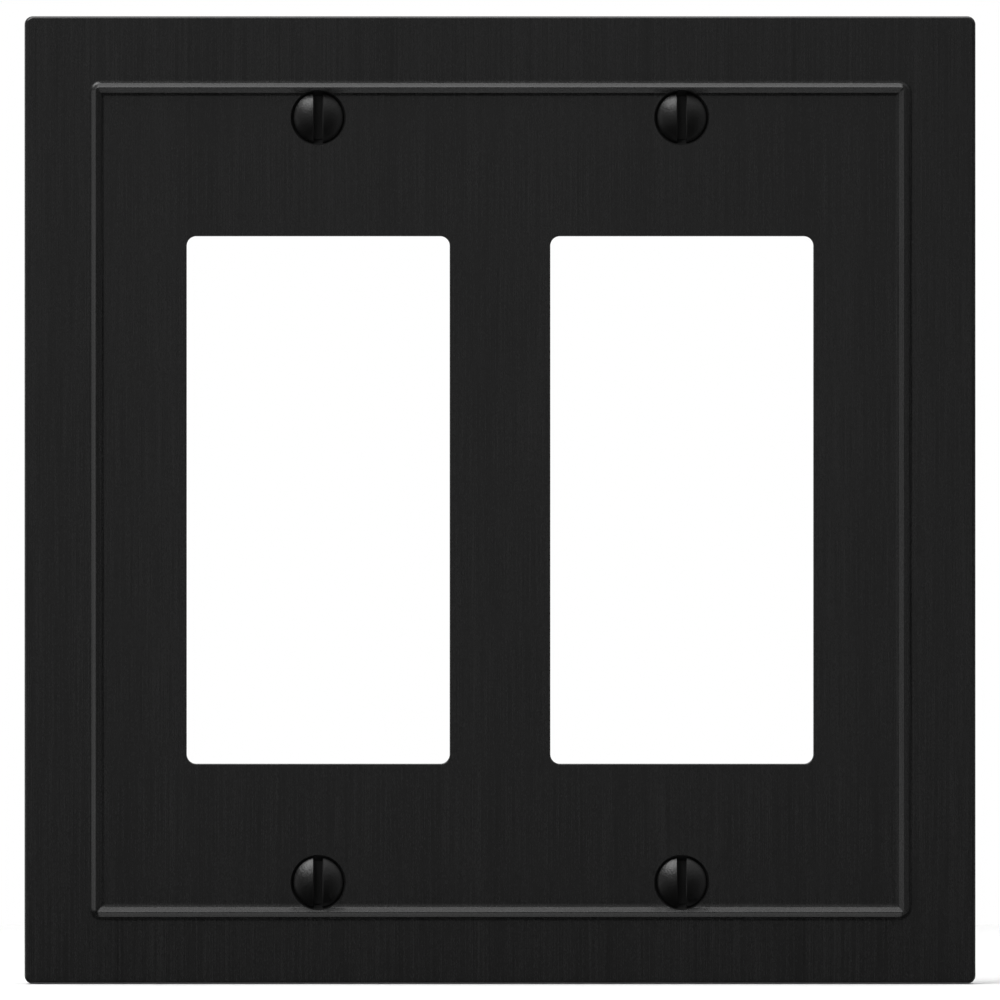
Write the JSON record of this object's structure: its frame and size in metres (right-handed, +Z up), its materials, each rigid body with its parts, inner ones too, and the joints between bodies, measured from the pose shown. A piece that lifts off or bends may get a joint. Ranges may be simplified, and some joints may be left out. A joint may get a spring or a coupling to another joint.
{
  "type": "wall plate",
  "caption": "Rocker-style wall plate cover in formed black metal with a raised bead, sunk panel, countersunk holes and slotted oval-head screws.",
  "frame": {"origin": "centre of the cover's outline, on the plane where its back rim meets the wall", "axes": "+X to the right seen from the front, +Z up, the front faces -Y and the wall is on the +Y side"},
  "size_m": [0.1204, 0.0172, 0.1226],
  "materials": {
    "plate_finish": "black, satin, with fine vertical brushing",
    "screw_finish": "black, semi-gloss, lightly worn"
  },
  "bodies": {
    "cover": {"wall_plate": "plate_finish"},
    "screw_top_left": {"screw_top_left": "screw_finish"},
    "screw_top_right": {"screw_top_right": "screw_finish"},
    "screw_bottom_left": {"screw_bottom_left": "screw_finish"},
    "screw_bottom_right": {"screw_bottom_right": "screw_finish"}
  },
  "joints": [
    {"name": "turn_top_left", "type": "hinge", "parent": "cover", "child": "screw_top_left", "pos_m": [-0.02302, 0, 0.04842], "axis": [0, 1, 0], "continuous": true},
    {"name": "turn_top_right", "type": "hinge", "parent": "cover", "child": "screw_top_right", "pos_m": [0.02302, 0, 0.04842], "axis": [0, 1, 0], "continuous": true},
    {"name": "turn_bottom_left", "type": "hinge", "parent": "cover", "child": "screw_bottom_left", "pos_m": [-0.02302, 0, -0.04842], "axis": [0, 1, 0], "continuous": true},
    {"name": "turn_bottom_right", "type": "hinge", "parent": "cover", "child": "screw_bottom_right", "pos_m": [0.02302, 0, -0.04842], "axis": [0, 1, 0], "continuous": true}
  ]
}
